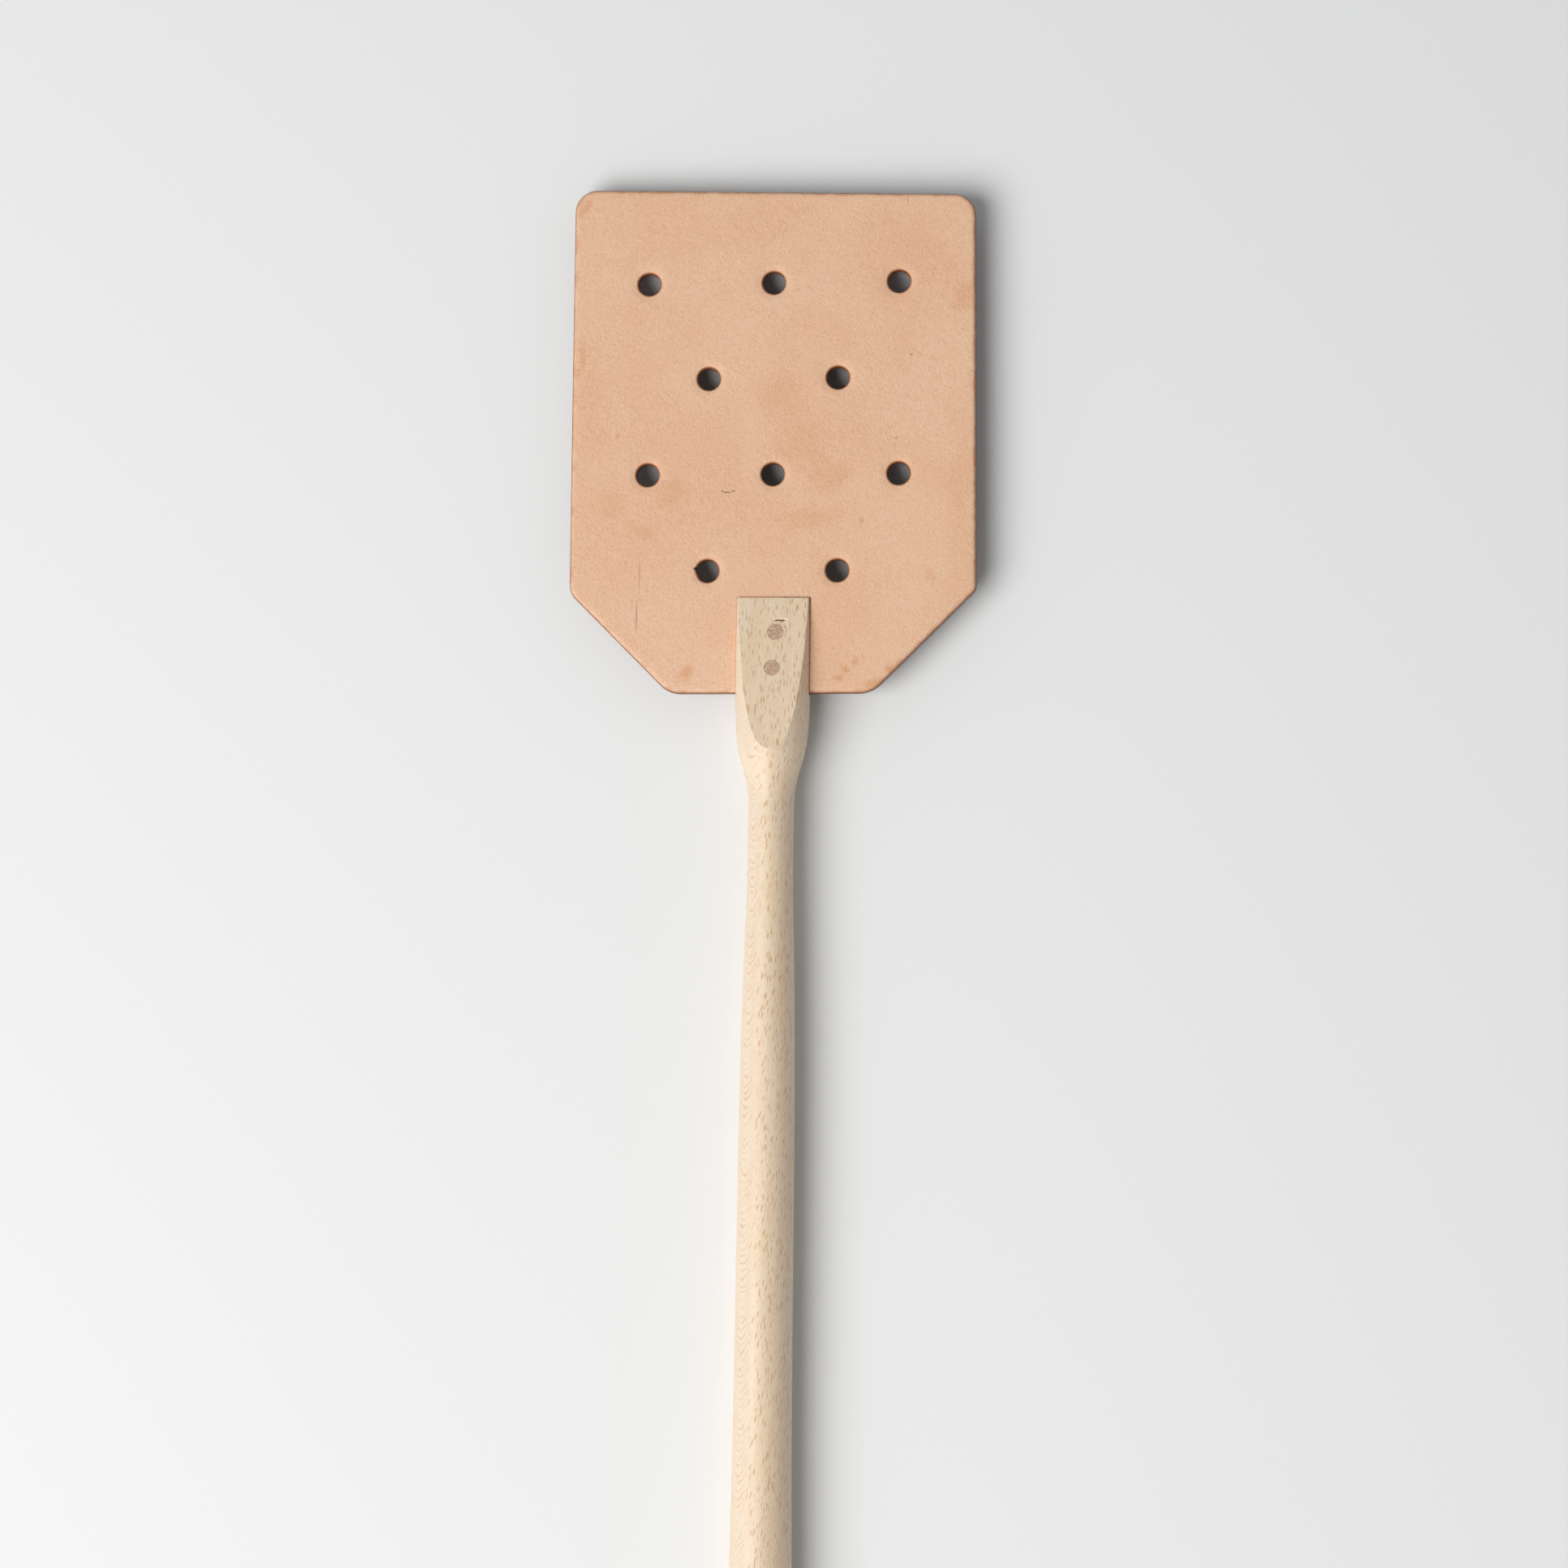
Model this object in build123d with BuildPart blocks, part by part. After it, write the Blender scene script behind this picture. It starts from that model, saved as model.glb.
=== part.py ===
from build123d import *
import os

# Fly swatter: a turned beech handle, sawn open at one end into a slot that holds a thick leather
# flap, with two wooden dowels driven through jaws and leather.
#
# Frame, in millimetres: +Y runs from the butt of the handle to the far edge of the flap, +Z is
# normal to the leather, and the origin is under the middle of the swatter, on the surface that it
# lies on. Stations along the length are Y values.

# Overall
overall_length = 445.0
handle_length = 342.0
rest_radius = 8.2  # the widest half-height, on which the swatter lies
axis_z = rest_radius
butt_y = -overall_length / 2
jaw_tip_y = butt_y + handle_length

# Leather flap, drawn in its own axes from the middle of the jaws' tip. It is cut a little out of
# square and sits a little askew in the slot, as hand work does.
jaw_length = 23.7  # leather covered by the jaws
free_length = 103.6  # from the jaws' tip to the far left corner
flap_width = 101.0
far_edge_width = 100.4
far_edge_drop = 2.8  # of the far right corner below the far left one
flap_thickness = 3.5
flap_turn = 0.5  # degrees, anticlockwise seen from above
flap_shift = -0.4
left_chamfer = (24.9, 25.1)  # across, along
right_chamfer = (25.8, 25.6)
far_corner_radius = 5.5
left_shoulder_radius = 5.0
right_shoulder_radius = 3.0
left_foot_radius = 7.0
right_foot_radius = 8.0
flap_edge_radius = 1.1
flap_plane = Plane((flap_shift, jaw_tip_y, axis_z)).rotated((0, 0, flap_turn))

# Punched air holes: rows of three and of two, staggered, in the flap's axes
vent_radius = 3.0
vent_row_pitch = 24.1
vent_first_row = 6.8  # the row of two nearest the jaws
vent_rows = 4
trio_pitch = 31.2
pair_pitch = 32.2

# Handle, turned about its axis: (distance behind the tip, radius), from the barrel to the grip
tip_radius = 9.05
barrel = (18.0, 9.25)
shoulder = (33.2, 8.85)
flat_end = (38.0, rest_radius)
neck_slope = ((42.8, 6.9), (47.6, 5.85))
neck = ((54.5, 5.6), (64.5, 5.6))
grip = ((88.5, 6.15), (154.5, 6.95), (228.0, 7.5))
swell_from_butt = 52.0
butt_radius = 7.3
side_start_slope = 0.03  # of the barrel's side, outwards from the tip
butt_slope = -0.02  # of the taper that runs into the domed butt

# Slot sawn for the leather
slot_clearance = 0.4  # beyond the leather's lower edge

# Flats planed on both faces of the jaws: three heights above the axis, along a gentle crown
flat_tip_height = 2.35
flat_middle_height = 5.6
flat_length, flat_end_height = flat_end
flat_run_out = 4.0  # of the cut, past the end of the flat and clear of the wood

# Dowels, cut flush with the flats; each sits a little off the axis, as drilled by hand
dowel_radius = 2.0
dowels = {
    "dowel_pin_upper": (0.7, jaw_tip_y - 8.8),
    "dowel_pin_lower": (0.1, jaw_tip_y - 17.8),
}

# Hanging hole near the butt
hang_radius = 2.5
hang_from_butt = 14.0
hang_rim_radius = 0.6

cutter_reach = 20.0  # past the widest part of the handle

os.makedirs("parts", exist_ok=True)


def flap_outline():
    """The flap's edge as cut, before its corners are rounded, from the lower left, anticlockwise."""
    half = flap_width / 2
    far_half = far_edge_width / 2
    left_across, left_along = left_chamfer
    right_across, right_along = right_chamfer
    Polyline(
        (-half + left_across, -jaw_length),
        (half - right_across, -jaw_length),
        (half, right_along - jaw_length),
        (far_half, free_length - far_edge_drop),
        (-far_half, free_length),
        (-half, left_along - jaw_length),
        close=True,
    )


def vent_places():
    """Centres of the air holes: rows of two and of three in turn, from the jaws outwards."""
    places = []
    for row in range(vent_rows):
        y = vent_first_row + row * vent_row_pitch
        count, pitch = (3, trio_pitch) if row % 2 else (2, pair_pitch)
        for column in range(count):
            places.append(((column - (count - 1) / 2) * pitch, y))
    return places


def cut_flats():
    """Planes both crowned flats off the part being built, from the jaw tip to where they run out."""
    flat_end_y = jaw_tip_y - flat_length
    middle_y = (jaw_tip_y + flat_end_y) / 2
    for side in (1, -1):
        with BuildSketch(Plane.YZ.offset(-cutter_reach)) as wedge:
            with BuildLine():
                crown = ThreePointArc(
                    (jaw_tip_y, axis_z + side * flat_tip_height),
                    (middle_y, axis_z + side * flat_middle_height),
                    (flat_end_y, axis_z + side * flat_end_height),
                )
                run_out = crown @ 1 + (crown % 1) * flat_run_out
                Polyline(
                    crown @ 1,
                    run_out,
                    (run_out.X, axis_z + side * cutter_reach),
                    (jaw_tip_y + cutter_reach, axis_z + side * cutter_reach),
                    (jaw_tip_y + cutter_reach, axis_z + side * flat_tip_height),
                    crown @ 0,
                )
            make_face()
        extrude(wedge.sketch, amount=2 * cutter_reach, mode=Mode.SUBTRACT)


def drill_dowel_holes():
    """Holes for both dowels, right through the part being built."""
    with Locations(*[(x, y, axis_z) for x, y in dowels.values()]):
        Cylinder(dowel_radius, 2 * cutter_reach, mode=Mode.SUBTRACT)


def turned_points():
    """Points of the handle's side, (radius, y), from the jaws' tip to the swell near the butt."""
    stations = [(0.0, tip_radius), barrel, shoulder, flat_end, *neck_slope, *neck, *grip]
    points = [(radius, jaw_tip_y - behind) for behind, radius in stations]
    return [*points, (rest_radius, butt_y + swell_from_butt)]


# Handle: one turned piece of beech with a barrel, a narrow neck, a long grip and a domed butt
with BuildPart() as handle:
    with BuildSketch(Plane.XY.offset(axis_z)):
        with BuildLine():
            dome_y = butt_y + butt_radius
            side = Spline(*turned_points(), tangents=((side_start_slope, -1), (0, -1)))
            taper = Spline(side @ 1, (butt_radius, dome_y), tangents=((0, -1), (butt_slope, -1)))
            dome = CenterArc((0, dome_y), butt_radius, -90, 90)
            Polyline(dome @ 0, (0, jaw_tip_y), side @ 0)
        make_face()
    revolve(axis=Axis((0, 0, axis_z), (0, 1, 0)))
    cut_flats()
    slot_length = jaw_length + slot_clearance
    with Locations((0, jaw_tip_y - slot_length / 2, axis_z)):
        Box(2 * cutter_reach, slot_length, flap_thickness, mode=Mode.SUBTRACT)
    drill_dowel_holes()
    with Locations((0, butt_y + hang_from_butt, axis_z)):
        Cylinder(hang_radius, 2 * cutter_reach, mode=Mode.SUBTRACT)
    hang_rims = handle.edges(Select.LAST).filter_by(lambda edge: edge.length > 6 * hang_radius)
    fillet(hang_rims, hang_rim_radius)
handle.part.label = "handle"
export_step(handle.part, "parts/handle.step")

# Flap: thick vegetable-tanned leather with rounded, burnished edges and ten punched holes
with BuildPart() as leather_flap:
    with BuildSketch(flap_plane.offset(-flap_thickness / 2)) as blank:
        with BuildLine():
            flap_outline()
        make_face()
        far_corners = blank.vertices().sort_by(Axis.Y)[-2:]
        foot_corners = blank.vertices().sort_by(Axis.Y)[:2].sort_by(Axis.X)
        shoulders = blank.vertices().sort_by(Axis.Y)[2:4].sort_by(Axis.X)
        fillet(far_corners, far_corner_radius)
        fillet(foot_corners[0], left_foot_radius)
        fillet(foot_corners[1], right_foot_radius)
        fillet(shoulders[0], left_shoulder_radius)
        fillet(shoulders[1], right_shoulder_radius)
    extrude(amount=flap_thickness)
    rims = leather_flap.faces().filter_by(Plane.XY).edges()
    fillet(rims, flap_edge_radius)
    with Locations(flap_plane.location):
        with Locations(*vent_places()):
            Cylinder(vent_radius, 2 * flap_thickness, mode=Mode.SUBTRACT)
    drill_dowel_holes()
leather_flap.part.label = "leather_flap"
export_step(leather_flap.part, "parts/leather_flap.step")


def make_dowel(name, x, y):
    """One dowel through both jaws and the leather, trimmed flush with the crowned flats."""
    with BuildPart() as dowel:
        with Locations((x, y, axis_z)):
            Cylinder(dowel_radius, 2 * cutter_reach)
        cut_flats()
    dowel.part.label = name
    export_step(dowel.part, f"parts/{name}.step")


for name, (x, y) in dowels.items():
    make_dowel(name, x, y)
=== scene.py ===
import math

import bmesh
import bpy
import numpy as np
from mathutils import Matrix, Vector, noise
from mathutils.geometry import delaunay_2d_cdt


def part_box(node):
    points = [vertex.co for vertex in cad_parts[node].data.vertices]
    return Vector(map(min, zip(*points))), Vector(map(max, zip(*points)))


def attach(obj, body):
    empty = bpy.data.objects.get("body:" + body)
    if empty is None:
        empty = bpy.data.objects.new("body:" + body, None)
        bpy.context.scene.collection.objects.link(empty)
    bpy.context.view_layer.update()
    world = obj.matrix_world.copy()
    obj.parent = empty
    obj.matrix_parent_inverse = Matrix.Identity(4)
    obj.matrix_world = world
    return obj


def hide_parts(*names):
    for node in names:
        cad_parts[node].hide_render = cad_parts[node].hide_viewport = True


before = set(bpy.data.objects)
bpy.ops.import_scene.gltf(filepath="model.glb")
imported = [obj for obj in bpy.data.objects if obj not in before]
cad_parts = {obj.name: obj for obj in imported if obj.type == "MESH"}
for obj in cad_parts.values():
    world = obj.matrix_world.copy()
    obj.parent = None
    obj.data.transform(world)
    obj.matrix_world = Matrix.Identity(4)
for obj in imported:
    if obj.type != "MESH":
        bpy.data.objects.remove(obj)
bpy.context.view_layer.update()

# The looks of a leather fly swatter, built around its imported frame. Shapes are worked out in
# millimetres and become metres when a mesh is made.

MM = 0.001
TINY = 1e-9
WELD_DISTANCE = 0.002
handle_low, handle_high = (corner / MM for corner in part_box("handle"))
flap_low, flap_high = (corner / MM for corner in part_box("leather_flap"))
AXIS_Z = (handle_low.z + handle_high.z) / 2
BUTT_Y = handle_low.y
TIP_Y = handle_high.y
HANDLE_LENGTH = TIP_Y - BUTT_Y
FLAP_HALF_THICKNESS = (flap_high.z - flap_low.z) / 2

# Handle: radius at each distance behind the jaw tip, as turned
BUTT_RADIUS = 7.3
TURNED = (
    (0.0, 9.05),
    (18.0, 9.25),
    (33.2, 8.85),
    (38.0, 8.2),
    (42.8, 6.9),
    (47.6, 5.85),
    (54.5, 5.6),
    (64.5, 5.6),
    (88.5, 6.15),
    (154.5, 6.95),
    (228.0, 7.5),
    (HANDLE_LENGTH - 52.0, 8.2),
    (HANDLE_LENGTH - BUTT_RADIUS, BUTT_RADIUS),
)
FLAT_LENGTH = 38.0
FLAT_TIP_HEIGHT = 2.35
FLAT_END_HEIGHT = 8.2
FLAT_CROWN = 0.325
FLAT_EDGE_ROUNDING = 0.3
TIP_ROUNDING = 0.22
BAND_LIMIT = math.radians(20)  # where the dome is too thin for a band as high as the slot
HANG_RADIUS = 2.5
HANG_RIM = 0.6
HANG_Y = BUTT_Y + 14.0

# Chip torn out of the flat by the upper dowel, as dips: depth, middle (across, beyond the dowel's
# rim), half-size, steepness of the sides, raggedness. Its far lip, its bed and its right side.
CHIP_DEPTH = 0.4
CHIP = (
    (CHIP_DEPTH, (1.15, 1.05), (1.6, 0.24), 4, 0.5),
    (0.13, (1.15, 0.4), (1.5, 0.5), 4, 0.0),
    (0.3, (2.55, -0.4), (0.22, 0.5), 2, 0.0),
)

# Flap, in its own axes from the middle of the jaws' tip: it sits a little askew
FLAP_TURN = math.radians(0.5)
FLAP_SHIFT = -0.4
JAW_LENGTH = 23.7
SLOT_CLEARANCE = 0.4
FREE_LENGTH = 103.6
FLAP_HALF_WIDTH = 50.5
FAR_HALF_WIDTH = 50.2
FLAP_CORNERS = (  # x, y, rounding
    (-FLAP_HALF_WIDTH + 24.9, -JAW_LENGTH, 7.0),
    (FLAP_HALF_WIDTH - 25.8, -JAW_LENGTH, 8.0),
    (FLAP_HALF_WIDTH, 25.6 - JAW_LENGTH, 3.0),
    (FAR_HALF_WIDTH, FREE_LENGTH - 2.8, 5.5),
    (-FAR_HALF_WIDTH, FREE_LENGTH, 5.5),
    (-FLAP_HALF_WIDTH, 25.1 - JAW_LENGTH, 5.0),
)
EDGE_RADIUS = 1.1
DROOP = 1.4  # of the far edge, as the leather sags and has taken a slight twist
TWIST = 1.2
WAVES = ((0.16, 38, 5), (0.05, 13, 9))  # height, width and seed
DENTS = (0.02, 4.2, 11)
VENT_RADIUS = 2.75  # the 3 mm holes have closed in a little halfway through the hide
VENT_RIM = 0.6
VENT_RIM_DEPTH = 1.2
VENT_DISH = 2.2  # width of the shallow dip that the punch pressed round each hole
VENT_DISH_DEPTH = 0.2
VENT_POINTS = 72
VENT_WOBBLE = 0.012  # of the radius
FIRST_ROW = 6.8
ROW_PITCH = 24.1
PAIR_AND_TRIO = ((2, 32.2), (3, 31.2))  # holes in a row, and their pitch
VENTS = [
    ((column - (count - 1) / 2) * pitch, FIRST_ROW + row * ROW_PITCH)
    for row, (count, pitch) in enumerate(PAIR_AND_TRIO * 2)
    for column in range(count)
]
NICKED_VENT = 0
VENT_FLAT = (0.2, 3.5, 0.4)  # depth, turn and spread of the flat side of the nicked hole
VENT_NICK = (0.5, 2.95, 0.13)

# Spacing of the points along the flap's edge
CORNER_STEP = 7  # degrees
STRAIGHT_STEP = 0.8

DOWEL_RECESS = 0.03
DOWEL_RIM = 0.09
DOWEL_RELIEF = 0.035
DOWEL_SEED = 20


def to_flap(x, y):
    """A place in the frame, in the flap's own axes."""
    offset = Matrix.Rotation(-FLAP_TURN, 2) @ Vector((x - FLAP_SHIFT, y - TIP_Y))
    return offset.x, offset.y


def dowel_place(node):
    """Centre x, centre y and radius of a dowel, from its CAD box."""
    low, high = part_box(node)
    return (low.x + high.x) / 2 / MM, (low.y + high.y) / 2 / MM, (high.x - low.x) / 2 / MM


DOWELS = {name: dowel_place(name) for name in ("dowel_pin_upper", "dowel_pin_lower")}


# ---------------------------------------------------------------- mesh helpers


def clamped_spline(places, values, first_slope, last_slope):
    """A smooth curve through the values, as a function of an array of places."""
    x = np.array(places, float)
    v = np.array(values, float)
    step = np.diff(x)
    rise = np.diff(v) / step
    count = len(x)
    matrix = np.zeros((count, count))
    right = np.zeros(count)
    matrix[0, :2] = 2 * step[0], step[0]
    matrix[-1, -2:] = step[-1], 2 * step[-1]
    right[0] = 6 * (rise[0] - first_slope)
    right[-1] = 6 * (last_slope - rise[-1])
    for i in range(1, count - 1):
        matrix[i, i - 1 : i + 2] = step[i - 1], 2 * (step[i - 1] + step[i]), step[i]
        right[i] = 6 * (rise[i] - rise[i - 1])
    bend = np.linalg.solve(matrix, right)

    def curve(at):
        i = np.clip(np.searchsorted(x, at) - 1, 0, count - 2)
        before = np.asarray(at) - x[i]
        after = x[i + 1] - np.asarray(at)
        cubic = (bend[i] * after**3 + bend[i + 1] * before**3) / (6 * step[i])
        return (
            cubic
            + (v[i] / step[i] - bend[i] * step[i] / 6) * after
            + (v[i + 1] / step[i] - bend[i + 1] * step[i] / 6) * before
        )

    return curve


def circle(count, start=0.0):
    """Evenly spaced ways out from a centre, all round."""
    turns = np.linspace(0, 2 * math.pi, count, endpoint=False) + start
    return np.stack([np.cos(turns), np.sin(turns)], 1)


def smooth_step(value):
    value = np.clip(value, 0, 1)
    return value * value * (3 - 2 * value)


def strip_faces(rows, columns, offset, closed=False):
    """Quads of a grid of vertices stored row by row; closed joins its last column to its first."""
    faces = []
    last = columns if closed else columns - 1
    for i in range(rows - 1):
        here = offset + i * columns
        beyond = here + columns
        for j in range(last):
            k = (j + 1) % columns
            faces.append((here + j, here + k, beyond + k, beyond + j))
    return faces


def add_object(name, data):
    made = bpy.data.objects.new(name, data)
    bpy.context.scene.collection.objects.link(made)
    return made


class Shell:
    """Collects grids of points, in millimetres, and welds them into one closed mesh."""

    def __init__(self):
        self.points = []
        self.faces = []

    def add_grid(self, grid, closed=False):
        rows, columns = grid.shape[:2]
        self.faces += strip_faces(rows, columns, len(self.points), closed)
        self.points += grid.reshape(-1, 3).tolist()

    def add_faces(self, points, faces):
        offset = len(self.points)
        self.faces += [tuple(offset + i for i in face) for face in faces]
        self.points += [list(p) for p in points]

    def weld(self, name):
        made = bmesh.new()
        corners = [made.verts.new(Vector(p) * MM) for p in self.points]
        for face in self.faces:
            if len(set(face)) > 2:
                made.faces.new([corners[i] for i in face])
        bmesh.ops.remove_doubles(made, verts=made.verts, dist=WELD_DISTANCE * MM)
        bmesh.ops.dissolve_degenerate(made, dist=1e-8, edges=made.edges)
        loose = [v for v in made.verts if not v.link_faces]
        bmesh.ops.delete(made, geom=loose, context="VERTS")
        bmesh.ops.recalc_face_normals(made, faces=made.faces)
        mesh = bpy.data.meshes.new(name)
        made.to_mesh(mesh)
        made.free()
        return add_object(name, mesh)


def read_points(mesh):
    """A mesh's vertices in millimetres."""
    points = np.zeros(len(mesh.vertices) * 3, np.float32)
    mesh.vertices.foreach_get("co", points)
    return points.reshape(-1, 3).astype(float) / MM


def write_points(mesh, points):
    mesh.vertices.foreach_set("co", (points * MM).astype(np.float32).ravel())
    mesh.update()


def write_attribute(mesh, name, values):
    attribute = mesh.attributes.new(name, "FLOAT", "POINT")
    attribute.data.foreach_set("value", np.asarray(values, np.float32))


def shade_smooth(mesh, sharp_degrees):
    mesh.polygons.foreach_set("use_smooth", [True] * len(mesh.polygons))
    mesh.set_sharp_from_angle(angle=math.radians(sharp_degrees))


def noise_at(points, size, seed):
    """Smooth noise from -1 to 1 at each point, with features about size across."""
    shift = Vector((seed * 17.3, seed * -9.1, seed * 5.7))
    return np.array([noise.noise(Vector(p) / size + shift) for p in points])


def drill(piece, holes):
    """Cuts round holes along Z, each (x, y, radius), right through the piece. The drill starts a
    little way round, so that its corners stay off the lines of the mesh."""
    cutter = Shell()
    reach = 2 * AXIS_Z
    for x, y, radius in holes:
        ring = np.array([x, y]) + radius * circle(64, start=0.013)
        ends = [np.insert(ring, 2, z, axis=1) for z in (AXIS_Z - reach, AXIS_Z + reach)]
        cutter.add_grid(np.array(ends), closed=True)
        for end in ends:
            cutter.add_faces(end, [tuple(range(len(end)))])
    tool = cutter.weld("drill_tool")
    cut = piece.modifiers.new("drill", "BOOLEAN")
    cut.operation = "DIFFERENCE"
    cut.solver = "MANIFOLD"
    cut.object = tool
    graph = bpy.context.evaluated_depsgraph_get()
    drilled = bpy.data.meshes.new_from_object(piece.evaluated_get(graph), depsgraph=graph)
    drilled.materials.clear()
    piece.modifiers.clear()
    piece.data = drilled
    bpy.data.objects.remove(tool)


def place(piece, node, slot):
    """The piece stands for a CAD node: it joins the root body and the node is hidden. The slot is
    not used.
    """
    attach(piece, "root")
    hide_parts(node)


# ---------------------------------------------------------------- handle

turned_radius = clamped_spline(*zip(*TURNED), first_slope=0.03, last_slope=-0.02)


def flat_height(behind):
    """Height of the planed flats above the axis, at a distance behind the jaw tip."""
    share = behind / FLAT_LENGTH
    line = FLAT_TIP_HEIGHT + (FLAT_END_HEIGHT - FLAT_TIP_HEIGHT) * share
    return line + 4 * FLAT_CROWN * share * (1 - share)


def spaced(start, end, step):
    """Evenly spaced values from start up to, but not including, end."""
    count = max(1, round(abs(end - start) / step))
    return np.linspace(start, end, count, endpoint=False)


def handle_stations():
    """Distances behind the jaw tip, close together where the shape changes fast."""
    slot_end = JAW_LENGTH + SLOT_CLEARANCE
    hang = TIP_Y - HANG_Y
    dome_start = HANDLE_LENGTH - BUTT_RADIUS
    dome_turns = np.linspace(0, math.pi / 2, 26)
    parts = [
        spaced(0, TIP_ROUNDING, TIP_ROUNDING / 4),
        spaced(TIP_ROUNDING, 10.0, 0.2),
        spaced(10.0, slot_end, 0.4),
        spaced(slot_end, FLAT_LENGTH, 0.4),
        spaced(FLAT_LENGTH, 56, 0.45),
        spaced(56, hang - 5, 2.2),
        spaced(hang - 5, hang + 5, 0.3),
        spaced(hang + 5, dome_start, 0.6),
        dome_start + BUTT_RADIUS * np.sin(dome_turns),
    ]
    return np.concatenate(parts), slot_end, dome_start


def section_sizes(behind, dome_start):
    """Radius and flat height of the section at each station; the height is the radius where the
    section is round."""
    dome = np.clip(behind - dome_start, 0, BUTT_RADIUS)
    radius = np.where(
        behind > dome_start,
        np.sqrt(np.maximum(BUTT_RADIUS**2 - dome**2, 0)),
        turned_radius(np.minimum(behind, dome_start)),
    )
    near_tip = np.clip(TIP_ROUNDING - behind, 0, TIP_ROUNDING)
    inset = TIP_ROUNDING - np.sqrt(TIP_ROUNDING**2 - near_tip**2)
    radius = radius - inset
    height = np.where(behind < FLAT_LENGTH, flat_height(behind) - inset, radius)
    return radius, np.minimum(height, radius)


def round_hang_rim(points):
    """Softens the mouths of the hanging hole, before it is drilled."""
    away = np.hypot(points[:, 0], points[:, 1] - HANG_Y)
    into = np.clip(HANG_RADIUS + HANG_RIM - away, 0, HANG_RIM)
    drop = HANG_RIM - np.sqrt(HANG_RIM**2 - into**2)
    height = points[:, 2] - AXIS_Z
    points[:, 2] -= np.sign(height) * np.minimum(drop, np.abs(height))


def chip_depth(points):
    """Depth of the chip torn out of the upper flat beyond the upper dowel."""
    x, y, radius = DOWELS["dowel_pin_upper"]
    above_slot = points[:, 2] > AXIS_Z + FLAP_HALF_THICKNESS + 0.3
    near_tip = points[:, 1] > TIP_Y - 10
    wander = noise_at(points * (1, 1, 0), 0.8, 3)
    across = points[:, 0] - x
    beyond = points[:, 1] - y - radius
    depth = np.zeros(len(points))
    for deepest, (middle_x, middle_y), (half_x, half_y), steepness, ragged in CHIP:
        sideways = ((across - middle_x) / half_x) ** steepness
        lengthways = ((beyond - middle_y) / half_y + ragged * wander) ** 2
        depth += deepest * np.exp(-sideways - lengthways)
    return np.where(above_slot & near_tip, depth, 0)


class HandleSections:
    """The handle's cross-sections: circles, planed flat above and below as far as FLAT_LENGTH.
    The flanks start at the slot's height, and the band between them is there only behind it."""

    def __init__(self):
        behind, slot_end, dome_start = handle_stations()
        self.y = TIP_Y - behind
        self.radius, self.height = section_sizes(behind, dome_start)
        band_sine = FLAP_HALF_THICKNESS / np.maximum(self.radius, TINY)
        self.flank_start = np.arcsin(np.minimum(band_sine, math.sin(BAND_LIMIT)))
        squared = (self.radius - self.height) * (self.radius + self.height - 2 * FLAT_EDGE_ROUNDING)
        self.edge_x = np.sqrt(np.maximum(squared, 0))
        edge_turn = np.arctan2(self.height - FLAT_EDGE_ROUNDING, np.maximum(self.edge_x, TINY))
        self.flank_end = np.where(self.height < self.radius - TINY, edge_turn, math.pi / 2)
        self.last_in_slot = np.flatnonzero(behind <= slot_end + TINY)[-1]
        self.last_in_flat = np.flatnonzero(behind <= FLAT_LENGTH + TINY)[-1]

    def flank(self):
        """x and height up the upper right flank, from the slot's height to the flat or the top."""
        share = np.linspace(0, 1, 25)
        turns = self.flank_start[:, None] + (self.flank_end - self.flank_start)[:, None] * share
        return self.radius[:, None] * np.cos(turns), self.radius[:, None] * np.sin(turns)

    def flat(self):
        """x and height across the upper flat, from right to left, with both its rounded edges."""
        rows = slice(0, self.last_in_flat + 1)
        edge_x = self.edge_x[rows, None]
        height = self.height[rows, None]
        start = self.flank_end[rows, None]
        turns = start + (math.pi / 2 - start) * np.linspace(0, 1, 5)
        round_x = edge_x + FLAT_EDGE_ROUNDING * np.cos(turns)
        round_z = height - FLAT_EDGE_ROUNDING + FLAT_EDGE_ROUNDING * np.sin(turns)
        chord_x = edge_x * np.linspace(1, -1, 81)
        chord_z = np.repeat(height, chord_x.shape[1], 1)
        x = np.concatenate([round_x[:, :-1], chord_x, -round_x[:, -2::-1]], 1)
        z = np.concatenate([round_z[:, :-1], chord_z, round_z[:, -2::-1]], 1)
        return x, z

    def tip_rim(self):
        """x and height round the upper jaw's end, from right to left."""
        flank_x, flank_z = (values[0] for values in self.flank())
        flat_x, flat_z = (values[0] for values in self.flat())
        x = np.concatenate([flank_x, flat_x[1:-1], -flank_x[::-1]])
        z = np.concatenate([flank_z, flat_z[1:-1], flank_z[::-1]])
        return x, z


def grid_of(x, stations, z):
    """Points row by row, one row at each station, from their x and their height above the axis."""
    return np.stack([x, np.repeat(stations[:, None], x.shape[1], 1), AXIS_Z + z], 2)


def add_outside(shell, sections, up):
    """The turned flanks and the planed flat of the upper or the lower half."""
    x, z = sections.flank()
    for right in (1, -1):
        shell.add_grid(grid_of(right * x, sections.y, up * z))
    x, z = sections.flat()
    shell.add_grid(grid_of(x, sections.y[: len(x)], up * z))


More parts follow.
